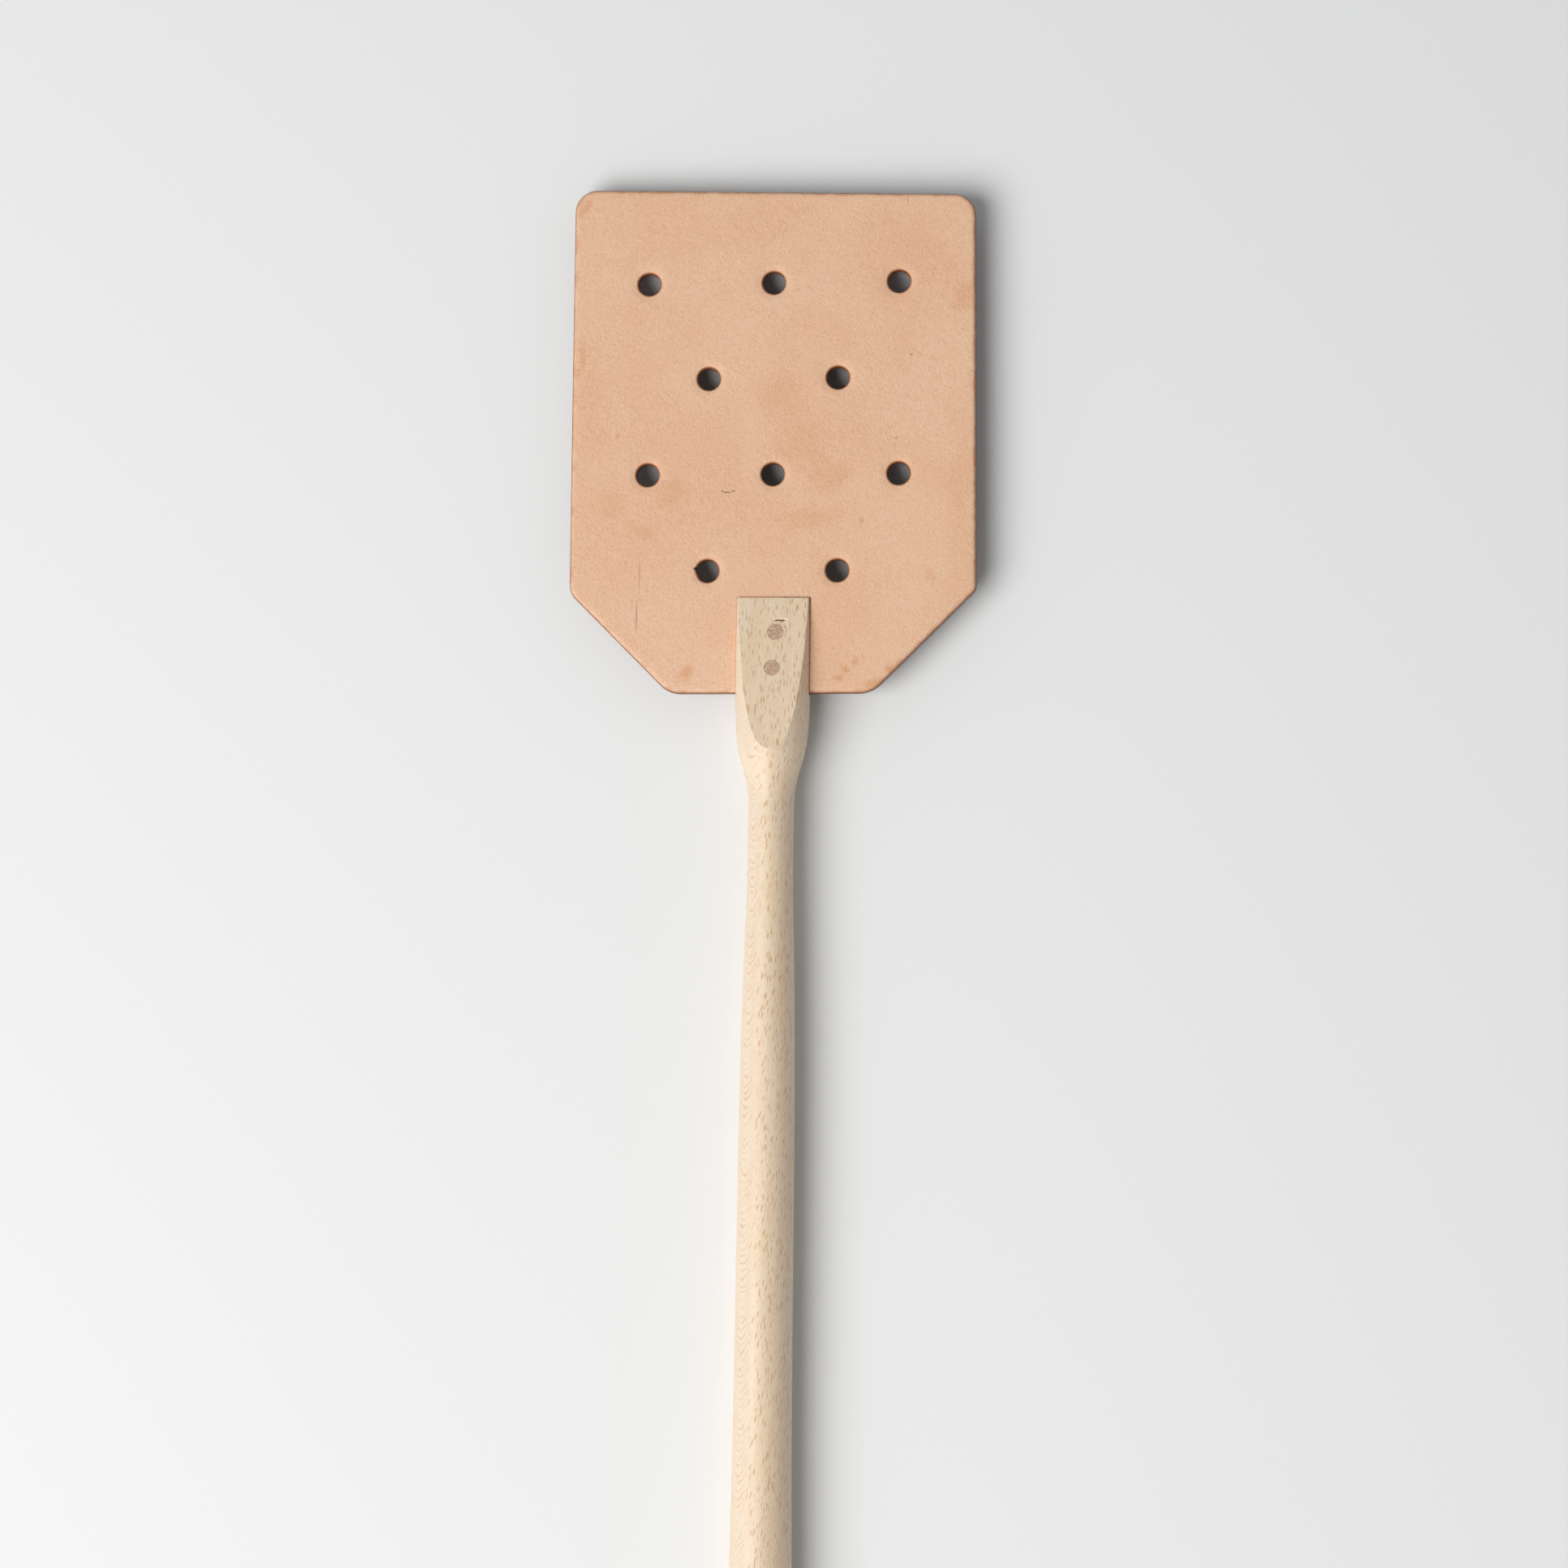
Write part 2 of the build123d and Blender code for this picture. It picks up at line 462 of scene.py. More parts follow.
def add_jaw(shell, sections, up):
    """The inner face of one jaw, on the same columns as its outer edge, and the jaw's end."""
    rim_x, rim_z = sections.tip_rim()
    rows = slice(0, sections.last_in_slot + 1)
    half_width = sections.flank()[0][rows, :1]
    inner_x = half_width * (rim_x / rim_x[0])
    inner_z = np.full_like(inner_x, FLAP_HALF_THICKNESS)
    shell.add_grid(grid_of(inner_x, sections.y[rows], up * inner_z))
    share = np.linspace(0, 1, 4)[:, None]
    end_x = np.repeat(rim_x[None, :], len(share), 0)
    end_z = FLAP_HALF_THICKNESS + (rim_z - FLAP_HALF_THICKNESS) * share
    shell.add_grid(grid_of(end_x, np.full(len(share), sections.y[0]), up * end_z))


def add_slot_end(shell, sections):
    """The bands that close both sides behind the slot, and the slot's floor between them."""
    first = sections.last_in_slot
    turns = sections.flank_start[first:, None] * np.linspace(-1, 1, 9)
    x = sections.radius[first:, None] * np.cos(turns)
    z = sections.radius[first:, None] * np.sin(turns)
    for right in (1, -1):
        shell.add_grid(grid_of(right * x, sections.y[first:], z))
    rim_x, _ = sections.tip_rim()
    floor_x = x[0][:, None] * (rim_x / rim_x[0])
    floor_z = np.repeat(z[0][:, None], len(rim_x), 1)
    shell.add_grid(grid_of(floor_x, np.full(len(floor_x), sections.y[first]), floor_z))


def make_handle():
    sections = HandleSections()
    shell = Shell()
    for up in (1, -1):
        add_outside(shell, sections, up)
        add_jaw(shell, sections, up)
    add_slot_end(shell, sections)
    piece = shell.weld("beech_handle")
    points = read_points(piece.data)
    round_hang_rim(points)
    points[:, 2] -= chip_depth(points)
    write_points(piece.data, points)
    drill(piece, [*DOWELS.values(), (0, HANG_Y, HANG_RADIUS)])
    write_attribute(piece.data, "torn", chip_depth(read_points(piece.data)) / CHIP_DEPTH)
    shade_smooth(piece.data, 32)
    place(piece, "handle", "beech_wood")
    return piece


# ---------------------------------------------------------------- dowels


def dowel_end(x, y, radius, up, seed):
    """Rings from near the middle of a dowel's end grain outwards and over its worn rim."""
    rim_turns = np.linspace(0, math.pi / 2, 5)[1:]
    face_radius = (radius - DOWEL_RIM) * np.linspace(0, 1, 16)[1:]
    ring_radius = np.concatenate([face_radius, radius - DOWEL_RIM * (1 - np.sin(rim_turns))])
    ring_drop = np.concatenate([np.zeros(len(face_radius)), DOWEL_RIM * (1 - np.cos(rim_turns))])
    away = circle(72)
    ring_x = x + ring_radius[:, None] * away[:, 0]
    ring_y = y + ring_radius[:, None] * away[:, 1]
    top = flat_height(TIP_Y - ring_y) - DOWEL_RECESS - ring_drop[:, None]
    grid = np.stack([ring_x, ring_y, AXIS_Z + up * top], 2)
    relief = np.abs(noise_at(grid.reshape(-1, 3), 0.45, seed + up)).reshape(top.shape)
    on_face = ring_radius < radius - DOWEL_RIM
    grid[:, :, 2] -= up * DOWEL_RELIEF * relief * on_face[:, None]
    return grid


def make_dowel(node, seed):
    """A dowel whose end grain sits a hair below the flats."""
    x, y, radius = DOWELS[node]
    shell = Shell()
    walls = []
    for up in (1, -1):
        end = dowel_end(x, y, radius, up, seed)
        count = end.shape[1]
        middle = (x, y, AXIS_Z + up * (flat_height(TIP_Y - y) - DOWEL_RECESS))
        fan = [(0, i + 1, (i + 1) % count + 1) for i in range(count)]
        shell.add_grid(end, closed=True)
        shell.add_faces([middle, *end[0]], fan)
        walls.append(end[-1])
    share = np.linspace(0, 1, 12)[:, None, None]
    shell.add_grid(walls[0] + (walls[1] - walls[0]) * share, closed=True)
    piece = shell.weld(node.replace("dowel_pin", "dowel"))
    shade_smooth(piece.data, 50)
    place(piece, node, "dowel_wood")
    return piece


# ---------------------------------------------------------------- leather flap


def corner_arc(before, corner, after, radius):
    """Points that round one corner, the way inwards at each of them, and where the arc ends."""
    way_in = (corner - before).normalized()
    way_out = (after - corner).normalized()
    turn = way_in.angle(way_out)
    reach = radius * math.tan(turn / 2)
    side = Vector((-way_in.y, way_in.x))
    centre = corner - way_in * reach + side * radius
    steps = max(3, math.ceil(math.degrees(turn) / CORNER_STEP))
    ways = [Matrix.Rotation(turn * k / steps, 2) @ side for k in range(steps)]
    return [centre - way * radius for way in ways], ways, corner + way_out * reach


def rounded_outline(corners):
    """Points along a closed outline of rounded corners, and the way inwards at each of them."""
    places = [Vector((x, y)) for x, y, _ in corners]
    arcs = []
    for i, (_, _, radius) in enumerate(corners):
        after = places[(i + 1) % len(places)]
        arcs.append(corner_arc(places[i - 1], places[i], after, radius))
    points = []
    inward = []
    for i, (arc, ways, end) in enumerate(arcs):
        next_arc, _, _ = arcs[(i + 1) % len(arcs)]
        run = next_arc[0] - end
        steps = math.ceil(run.length / STRAIGHT_STEP)
        points += arc + [end + run * (k / steps) for k in range(steps)]
        inward += ways + [Vector((-run.y, run.x)).normalized()] * steps
    return np.array(points), np.array(inward)


def edge_rings(rounding_x, rounding_z, wall_steps):
    """Insets and heights of the rings that carry a surface round its edge, top to bottom."""
    turns = np.linspace(0, math.pi / 2, 7)
    inset = rounding_x * (1 - np.sin(turns))
    height = FLAP_HALF_THICKNESS - rounding_z * (1 - np.cos(turns))
    wall = np.linspace(height[-1], -height[-1], wall_steps + 2)[1:-1]
    return (
        np.concatenate([inset, np.zeros(wall_steps), inset[::-1]]),
        np.concatenate([height, wall, -height[::-1]]),
    )


def swell(turns, height, middle, spread):
    """That height at the middle turn, falling smoothly to nothing on both sides of it."""
    return height * np.exp(-(((turns - middle) / spread) ** 2))


def vent_outline(index, x, y):
    """Points round one punched hole, slightly out of round, and the way out from its centre."""
    turns = np.linspace(0, 2 * math.pi, VENT_POINTS, endpoint=False)
    away = circle(VENT_POINTS)
    wobble = noise_at([(across, along, index) for across, along in away], 0.8, 7)
    radius = VENT_RADIUS * (1 + VENT_WOBBLE * wobble)
    if index == NICKED_VENT:
        radius = radius - swell(turns, *VENT_FLAT) + swell(turns, *VENT_NICK)
    return np.array([x, y]) + away * radius[:, None], away


def ring_stack(outline, inward, inset, height, roughen=0.0, seed=0):
    """A closed strip of rings that follows the outline, moved inwards and raised ring by ring."""
    grid = np.zeros((len(inset), len(outline), 3))
    for k, (back, z) in enumerate(zip(inset, height)):
        grid[k, :, :2] = outline + inward * back
        grid[k, :, 2] = AXIS_Z + z
    if roughen:
        ragged = np.clip(noise_at(grid.reshape(-1, 3), 7.0, seed), 0, 1) * roughen
        ragged = ragged.reshape(grid.shape[:2]) * (1 - inset / max(inset))[:, None]
        grid[:, :, :2] += inward[None] * ragged[:, :, None]
    return grid


def triangle_grid(spacing):
    """Evenly spread points over the whole flap, in its own axes."""
    row_step = spacing * math.sqrt(3) / 2
    rows = int((FREE_LENGTH + JAW_LENGTH) / row_step)
    columns = int(2 * FLAP_HALF_WIDTH / spacing)
    points = []
    for i in range(rows):
        start = -FLAP_HALF_WIDTH + 0.5 * (i % 2) * spacing
        points += [(start + j * spacing, -JAW_LENGTH + i * row_step) for j in range(columns)]
    return np.array(points)


def flap_face(loops, holes, spacing=1.15):
    """Triangles that fill the first loop around the others, with evenly spread inner points."""
    outer = loops[0]
    inner = triangle_grid(spacing)
    keep = inside_outline(inner, outer, 0.45 * spacing)
    for x, y, radius in holes:
        keep &= np.hypot(inner[:, 0] - x, inner[:, 1] - y) > radius + 0.5 * spacing
    points = [Vector(p) for loop in loops for p in loop]
    edges = []
    start = 0
    for loop in loops:
        count = len(loop)
        edges += [(start + i, start + (i + 1) % count) for i in range(count)]
        start += count
    points += [Vector(p) for p in inner[keep]]
    flat, _, faces, *_ = delaunay_2d_cdt(points, edges, [], 1, 1e-5)
    flat = np.array([tuple(p) for p in flat])
    middles = np.array([flat[list(face)].mean(0) for face in faces])
    solid = inside_outline(middles, outer, 0)
    for loop in loops[1:]:
        solid &= ~inside_outline(middles, loop, 0)
    return flat, [face for face, ok in zip(faces, solid) if ok]


def outline_gap(points, outline):
    """Distance of each point from the outline's nearest stretch, positive inside."""
    runs = np.roll(outline, -1, 0) - outline
    gap = np.full(len(points), np.inf)
    inside = np.zeros(len(points), bool)
    for start, run in zip(outline, runs):
        offset = points - start
        share = np.clip((offset @ run) / (run @ run), 0, 1)
        gap = np.minimum(gap, np.hypot(*(offset - share[:, None] * run).T))
        crosses = (offset[:, 1] >= 0) != (offset[:, 1] >= run[1])
        if run[1] != 0:
            inside ^= crosses & (offset[:, 0] < offset[:, 1] * run[0] / run[1])
    return np.where(inside, gap, -gap)


def inside_outline(points, outline, margin):
    return outline_gap(points, outline) > margin


def sag_and_wave(points):
    """Bends the flap beyond the jaws: it droops to the far left, and hide is never quite flat."""
    across = points[:, 0] / FLAP_HALF_WIDTH
    reach = np.clip(points[:, 1] / FREE_LENGTH, 0, 1) ** 1.5
    points[:, 2] -= reach * (DROOP - TWIST * across)
    beyond_jaws = smooth_step(points[:, 1] / 12)
    beside_jaws = smooth_step((np.abs(points[:, 0]) - 10) / 10)
    rise = sum(height * noise_at(points * (1, 1, 0), width, seed) for height, width, seed in WAVES)
    depth, width, seed = DENTS
    rise += depth * noise_at(points, width, seed)
    points[:, 2] += np.clip(beyond_jaws + beside_jaws, 0, 1) * rise


def vent_rings(index, x, y):
    """One air hole: a shallow dip in both faces, soft rims, and the wall between them."""
    outline, away = vent_outline(index, x, y)
    inset, height = edge_rings(VENT_RIM, VENT_RIM_DEPTH, 4)
    dish = np.linspace(VENT_DISH, VENT_RIM, 7)[:-1]
    level = np.full(len(dish), FLAP_HALF_THICKNESS)
    inset = np.concatenate([dish, inset, dish[::-1]])
    height = np.concatenate([level, height, -level])
    return ring_stack(outline, away, inset, height)


def bore_rings(x, y, radius):
    """The straight wall of a dowel's hole."""
    away = circle(40)
    height = np.linspace(FLAP_HALF_THICKNESS, -FLAP_HALF_THICKNESS, 4)
    return ring_stack(np.array([x, y]) + away * radius, away, np.zeros(len(height)), height)


def flap_shell(outline, inward):
    """The flat flap in its own axes: border, holes, and both faces between them."""
    inset, height = edge_rings(EDGE_RADIUS, EDGE_RADIUS, 3)
    dowel_holes = [(*to_flap(x, y), radius) for x, y, radius in DOWELS.values()]
    strips = [ring_stack(outline, inward, inset, height, roughen=0.05, seed=2)]
    strips += [vent_rings(index, x, y) for index, (x, y) in enumerate(VENTS)]
    strips += [bore_rings(*hole) for hole in dowel_holes]
    holes = [(x, y, VENT_RADIUS + VENT_DISH) for x, y in VENTS] + dowel_holes
    shell = Shell()
    for strip in strips:
        shell.add_grid(strip, closed=True)
    for up, ring in ((1, 0), (-1, -1)):
        flat, faces = flap_face([strip[ring][:, :2] for strip in strips], holes)
        level = np.full((len(flat), 1), AXIS_Z + up * FLAP_HALF_THICKNESS)
        shell.add_faces(np.concatenate([flat, level], 1), faces)
    return shell


def vent_gap(points):
    """Distance of each point from the rim of the nearest air hole, negative inside it."""
    gap = np.full(len(points), np.inf)
    for x, y in VENTS:
        gap = np.minimum(gap, np.hypot(points[:, 0] - x, points[:, 1] - y) - VENT_RADIUS)
    return gap


def mark_flap(mesh, points, outline):
    """Writes where the hide's colour changes: at its edges, round and in its holes, and below."""
    level = np.abs(points[:, 2] - AXIS_Z) / FLAP_HALF_THICKNESS
    edge_gap = outline_gap(points[:, :2], outline)
    write_attribute(mesh, "edge", 1 - smooth_step(edge_gap / 2.4))
    write_attribute(mesh, "wall", 1 - smooth_step((level - 0.55) / 0.43))
    write_attribute(mesh, "vent", 1 - smooth_step(vent_gap(points) / 1.4))
    write_attribute(mesh, "flesh", points[:, 2] < AXIS_Z - 0.95 * FLAP_HALF_THICKNESS)


def shape_flap(points):
    """Presses the dips round the holes, bends the flap, and turns it askew in the jaws."""
    height = points[:, 2] - AXIS_Z
    dip = VENT_DISH_DEPTH * (1 - smooth_step(vent_gap(points) / VENT_DISH))
    points[:, 2] -= dip * np.clip(height / FLAP_HALF_THICKNESS, -1, 1)
    sag_and_wave(points)
    cosine = math.cos(FLAP_TURN)
    sine = math.sin(FLAP_TURN)
    turned = points[:, :2] @ np.array([[cosine, sine], [-sine, cosine]])
    points[:, :2] = turned + (FLAP_SHIFT, TIP_Y)


def make_flap():
    outline, inward = rounded_outline(FLAP_CORNERS)
    piece = flap_shell(outline, inward).weld("leather_flap_skin")
    points = read_points(piece.data)
    mark_flap(piece.data, points, outline)
    shape_flap(points)
    write_points(piece.data, points)
    shade_smooth(piece.data, 60)
    place(piece, "leather_flap", "tan_leather")
    return piece


# ---------------------------------------------------------------- materials


def rgb(red, green, blue):
    """A linear colour with alpha, from the values that a screen shows."""

    def linear(value):
        value /= 255
        return value / 12.92 if value <= 0.04045 else ((value + 0.055) / 1.055) ** 2.4

    return (linear(red), linear(green), linear(blue), 1.0)


class Nodes:
    """Builds the nodes of one tree. Its methods return sockets, and take sockets or values."""

    def __init__(self, tree):
        self.tree = tree

    def feed(self, socket, value):
        if isinstance(value, bpy.types.NodeSocket):
            self.tree.links.new(value, socket)
        else:
            socket.default_value = value

    def node(self, kind, settings=None, **inputs):
        made = self.tree.nodes.new(kind)
        for name, value in (settings or {}).items():
            setattr(made, name, value)
        for name, value in inputs.items():
            self.feed(made.inputs[name], value)
        return made

    def math(self, operation, *values):
        made = self.node("ShaderNodeMath", {"operation": operation})
        for socket, value in zip(made.inputs, values):
            self.feed(socket, value)
        return made.outputs[0]

    def times(self, first, second):
        return self.math("MULTIPLY", first, second)

    def vector(self, operation, *values, **inputs):
        made = self.node("ShaderNodeVectorMath", {"operation": operation}, **inputs)
        for socket, value in zip(made.inputs, values):
            self.feed(socket, value)
        is_number = operation in ("DOT_PRODUCT", "LENGTH")
        return made.outputs["Value" if is_number else "Vector"]

    def split(self, place):
        return self.node("ShaderNodeSeparateXYZ", Vector=place).outputs

    def ramp(self, value, start, end, low=0.0, high=1.0, smooth=True):
        """The value carried from start..end to low..high, held at both ends."""
        settings = {"interpolation_type": "SMOOTHSTEP" if smooth else "LINEAR"}
        made = self.node("ShaderNodeMapRange", settings, Value=value)
        made.inputs["From Min"].default_value = start
        made.inputs["From Max"].default_value = end
        made.inputs["To Min"].default_value = low
        made.inputs["To Max"].default_value = high
        return made.outputs["Result"]


class Recipe(Nodes):
    """One material, worked out from places on the object in millimetres."""

    def __init__(self, name):
        self.material = bpy.data.materials.new(name)
        self.material.use_nodes = True
        super().__init__(self.material.node_tree)
        self.shader = self.tree.nodes["Principled BSDF"]
        metres = self.node("ShaderNodeTexCoord").outputs["Object"]
        self.place = self.vector("SCALE", metres, Scale=1 / MM)

    def noise(self, place, scale, detail=2.0, roughness=0.5, distortion=0.0):
        made = self.node(
            "ShaderNodeTexNoise",
            Vector=place,
            Scale=scale,
            Detail=detail,
            Roughness=roughness,
            Distortion=distortion,
        )
        return made.outputs["Fac"]

    def wander(self, place, scale, detail, reach):
        """A slowly changing offset, up to half of reach each way."""
        drift = self.node("ShaderNodeTexNoise", Vector=place, Scale=scale, Detail=detail)
        offset = self.vector("SUBTRACT", drift.outputs["Color"], (0.5, 0.5, 0.5))
        return self.vector("SCALE", offset, Scale=reach)

    def cells(self, place, scale):
        return self.node("ShaderNodeTexVoronoi", Vector=place, Scale=scale).outputs

    def mix(self, share, first, second):
        made = self.node("ShaderNodeMix", {"data_type": "RGBA"})
        self.feed(made.inputs[0], share)
        self.feed(made.inputs[6], first)
        self.feed(made.inputs[7], second)
        return made.outputs[2]

    def attribute(self, name):
        return self.node("ShaderNodeAttribute", {"attribute_name": name}).outputs["Fac"]

    def axes(self, place, *directions):
        """The place in other axes, each given as a direction divided by its unit length."""
        parts = [self.vector("DOT_PRODUCT", place, tuple(d)) for d in directions]
        return self.node("ShaderNodeCombineXYZ", X=parts[0], Y=parts[1], Z=parts[2]).outputs[0]

    def relief(self, height, depth_mm, normal=None):
        """A bump of that depth, over an earlier one."""
        made = self.node("ShaderNodeBump", Height=height, Distance=depth_mm * MM)
        if normal is not None:
            self.feed(made.inputs["Normal"], normal)
        return made.outputs["Normal"]

    def spot(self, place, centre, size):
        """1 at the centre of a soft oval mark and 0 outside it, with size as its half-width and
        half-height."""
        offset = self.vector("SUBTRACT", place, (*centre, 0))
        offset = self.vector("MULTIPLY", offset, (1 / size[0], 1 / size[1], 0))
        return self.ramp(self.vector("LENGTH", offset), 1.0, 0.15)

    def marks(self, place, marks, colour, tint):
        """The colour with soft marks of a tint, each at its place beyond the jaws' tip."""
        for (x, y), size, strength in marks:
            spot = self.spot(place, (x, TIP_Y + y), size)
            colour = self.mix(self.times(spot, strength), colour, tint)
        return colour

    def finish(self, colour, roughness, normal, specular, sheen=0.0):
        self.feed(self.shader.inputs["Base Color"], colour)
        self.feed(self.shader.inputs["Roughness"], roughness)
        self.feed(self.shader.inputs["Normal"], normal)
        self.shader.inputs["Specular IOR Level"].default_value = specular
        self.shader.inputs["Sheen Weight"].default_value = sheen
        return self.material


LEATHER = rgb(228, 183, 149)
LEATHER_PALE = rgb(231, 189, 157)
LEATHER_ORANGE = rgb(216, 158, 114)
LEATHER_CREASE = rgb(198, 148, 112)
LEATHER_LIGHT = rgb(240, 206, 178)
LEATHER_BURNISHED = rgb(190, 118, 70)
# Cut fibre's brown, painted darker to stand for shade on the walls
LEATHER_CUT_AND_SHADE = rgb(84, 44, 26)
# Flesh side, painted dark as shade under the flap
LEATHER_FLESH_SHADE = rgb(108, 76, 58)
LEATHER_MARK = rgb(128, 80, 54)
# Painted contact shadow round the jaws
LEATHER_JAW_SHADOW = rgb(120, 52, 30)

# Marks on the hide: (x, y beyond the jaws' tip), (half-width, half-height), strength
STAINS = (
    ((6.0, 39.0), (12.0, 12.0), 0.42),
    ((0.5, 51.0), (9.0, 8.0), 0.3),
    ((13.0, 31.0), (9.0, 6.5), 0.4),
    ((9.0, 20.0), (11.0, 4.5), 0.34),
    ((-25.5, 26.0), (6.0, 5.0), 0.4),
    ((-41.0, 23.0), (5.0, 4.0), 0.3),
    ((-33.0, 16.5), (6.0, 3.0), 0.42),
    ((-49.5, 60.0), (1.2, 6.0), 0.6),
    ((-46.0, 50.0), (7.0, 18.0), 0.22),
    ((46.5, 75.0), (4.5, 4.5), 0.5),
    ((30.0, 86.0), (22.0, 16.0), 0.25),
    ((-49.0, 98.5), (2.0, 4.0), 0.6),
    ((-21.5, -20.0), (3.0, 3.0), 0.85),
    ((15.6, -20.0), (1.6, 2.2), 0.9),
    ((17.4, -17.4), (1.4, 2.2), 0.95),
    ((19.4, -14.6), (1.3, 2.2), 0.75),
    ((25.5, -20.8), (3.6, 2.0), 0.8),
    ((29.8, -17.4), (2.8, 2.4), 1.0),
    ((33.5, -14.2), (2.4, 2.0), 0.7),
    ((38.5, 6.0), (2.0, 3.0), 0.5),
    ((21.6, 20.0), (1.0, 1.6), 0.7),
    ((-40.0, 40.5), (1.0, 1.6), 0.5),
    ((46.0, 30.0), (5.0, 30.0), 0.25),
)
# Scratches, cuts and specks in the grain, in the same terms
SCRATCHES = (
    ((-33.4, 5.6), (0.26, 6.2), 0.42),
    ((-34.0, -5.0), (0.3, 6.4), 0.5),
    ((-35.2, -2.0), (0.22, 3.4), 0.25),
    ((-12.0, 26.3), (1.7, 0.3), 0.9),
    ((-13.2, 26.6), (0.5, 0.5), 0.6),
    ((-10.4, 26.6), (0.7, 0.3), 0.8),
    ((33.4, 60.8), (0.45, 0.45), 0.7),
    ((29.8, 39.9), (0.45, 0.5), 0.5),
    ((32.1, 99.9), (0.25, 2.0), 0.4),
)


# Axes of the hide's grain, in cells per mm: across the creases, along them, and through the hide;
# and those of the fibres in a cut wall, which lie flat
GRAIN_AXES = ((2.3, 1.5, 0), (-0.62, 0.95, 0), (0, 0, 2))
FIBRE_AXES = ((1, 0, 0), (0, 1, 0), (0, 0, 4))


def stained_hide(r):
    """The hide's slow changes of colour, and its stains."""
    colour = r.mix(r.ramp(r.noise(r.place, 0.045, 4, 0.55, 0.3), 0.38, 0.62), LEATHER_PALE, LEATHER)
    cloud = r.noise(r.place, 0.22, 4, 0.6)
    colour = r.mix(r.ramp(cloud, 0.5, 0.8, 0, 0.12), colour, LEATHER_ORANGE)
    bent = r.vector("ADD", r.place, r.wander(r.place, 0.14, 3.0, 7.0))
    return r.marks(bent, STAINS, colour, LEATHER_ORANGE)


def grained(r, colour, ridges, pebbles):
    """Fine creases and pale ridges drawn out along one diagonal, over a close pebbling."""
    crease = r.ramp(ridges, 0.5, 0.3)
    light = r.ramp(ridges, 0.52, 0.72)
    colour = r.mix(r.times(crease, 0.38), colour, LEATHER_CREASE)
    colour = r.mix(r.times(light, 0.38), colour, LEATHER_LIGHT)
    return r.mix(r.ramp(pebbles, 0.55, 0.75, 0, 0.3), colour, LEATHER_CREASE)


def edges_and_shade(r, colour, edge):
    """Uneven burnishing along the edges, brown hole rims, fibrous cut walls and the flesh side; the
    walls and the flesh side are painted darker as shade.
    """
    uneven = r.ramp(r.noise(r.place, 0.3, 3, 0.6), 0.3, 0.7, 0.3, 1.0)
    burnish = r.ramp(r.times(edge, uneven), 0.3, 1.0)
    colour = r.mix(r.times(burnish, 0.5), colour, LEATHER_BURNISHED)
    colour = r.mix(r.ramp(r.attribute("vent"), 0.55, 1.0, 0, 0.75), colour, LEATHER_BURNISHED)
    fibre = r.noise(r.axes(r.place, *FIBRE_AXES), 1.6, 3, 0.6)
    # Cut walls: brown fibre, painted darker as shade on the rounded edges and the hole walls
    cut = r.mix(r.ramp(fibre, 0.35, 0.65, 0, 0.5), LEATHER_CUT_AND_SHADE, LEATHER_BURNISHED)
    colour = r.mix(r.attribute("wall"), colour, cut)
    # Painted shade: the flesh side is darker so that less light bounces under the flap
    return r.mix(r.attribute("flesh"), colour, LEATHER_FLESH_SHADE)


def jaw_shadow_line(r):
    """How dark the painted shadow is on the hide round the jaws and beyond their tip: strongest
    along the right jaw, away from the light.
    """
    x, y, _ = r.split(r.place)
    beside = r.math("SUBTRACT", r.math("ABSOLUTE", x), turned_radius(0.0))
    beyond = r.math("SUBTRACT", y, TIP_Y)
    ragged = r.times(r.noise(r.place, 1.4, 3, 0.6), 0.5)
    near = r.ramp(r.math("ADD", r.math("MAXIMUM", beside, beyond), ragged), 0.62, 0.3)
    return r.times(near, r.ramp(x, -5.0, 5.0, 0.25, 0.85))


def leather_material():
    """Vegetable-tanned leather: a fine diagonal grain, soft stains, burnished, browner edges, and
    painted shade on its cut walls, its underside and round the jaws.
    """
    r = Recipe("veg_tan_leather")
    edge = r.attribute("edge")
    ridges = r.noise(r.axes(r.place, *GRAIN_AXES), 1.0, 3, 0.6)
    pebbles = r.noise(r.place, 3.4, 3, 0.6)
    colour = grained(r, stained_hide(r), ridges, pebbles)
    colour = r.marks(r.place, SCRATCHES, colour, LEATHER_MARK)
    colour = edges_and_shade(r, colour, edge)
    # Painted shadow round the jaws, darkest on the right, away from the light
    colour = r.mix(jaw_shadow_line(r), colour, LEATHER_JAW_SHADOW)
    normal = r.relief(ridges, 0.11)
    normal = r.relief(pebbles, 0.05, normal)
    normal = r.relief(r.noise(r.place, 0.5, 3, 0.6), 0.12, normal)
    roughness = r.ramp(pebbles, 0.35, 0.65, 0.5, 0.62)
    roughness = r.math("SUBTRACT", roughness, r.times(edge, 0.12))
    return r.finish(colour, roughness, normal, 0.4)


BEECH = rgb(230, 205, 173)
BEECH_PALE = rgb(233, 212, 184)
BEECH_WARM = rgb(212, 178, 142)
BEECH_RAY = rgb(182, 118, 66)
BEECH_TORN = rgb(112, 76, 50)
BEECH_SILK = rgb(200, 152, 106)
# Painted sheen: a paler colour for the side of the handle that faces up towards the window
BEECH_PAINTED_SHEEN = rgb(224, 208, 188)

# The wood's own axes: its rays run inwards along RADIAL, and their faces lean a little out of line
# with the handle
RADIAL = Vector((0.69, 0, 0.72))
RAY_LEAN = 0.14
TANGENTIAL = (Vector((-0.72, 0, 0.69)) + RAY_LEAN * Vector((0, 1, 0))).normalized()
ALONG = TANGENTIAL.cross(RADIAL).normalized()
RAY_SPACING = 0.24

